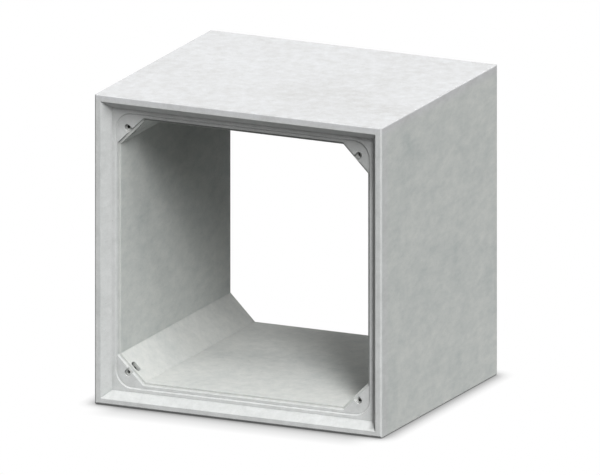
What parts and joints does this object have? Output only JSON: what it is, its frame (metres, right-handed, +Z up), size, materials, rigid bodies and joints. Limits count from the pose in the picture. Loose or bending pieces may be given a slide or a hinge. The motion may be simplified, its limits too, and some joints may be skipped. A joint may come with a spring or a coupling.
{
  "type": "box culvert unit",
  "caption": "Precast concrete box culvert unit with haunched corners, a tapered joint recess at one end and corner pockets for joint bolts",
  "frame": {"origin": "bottom centre of the unit, on the bedding under the base slab", "axes": "+Z up, +Y along the waterway from the recessed front end to the plain back end, +X to the right when looking in at the front end"},
  "size_m": [2.8, 2.43, 2.838],
  "materials": {
    "concrete": "fair faced precast concrete, matt, light grey with faint cloudy tone changes"
  },
  "bodies": {
    "root": {"culvert_unit": "concrete"}
  },
  "joints": []
}
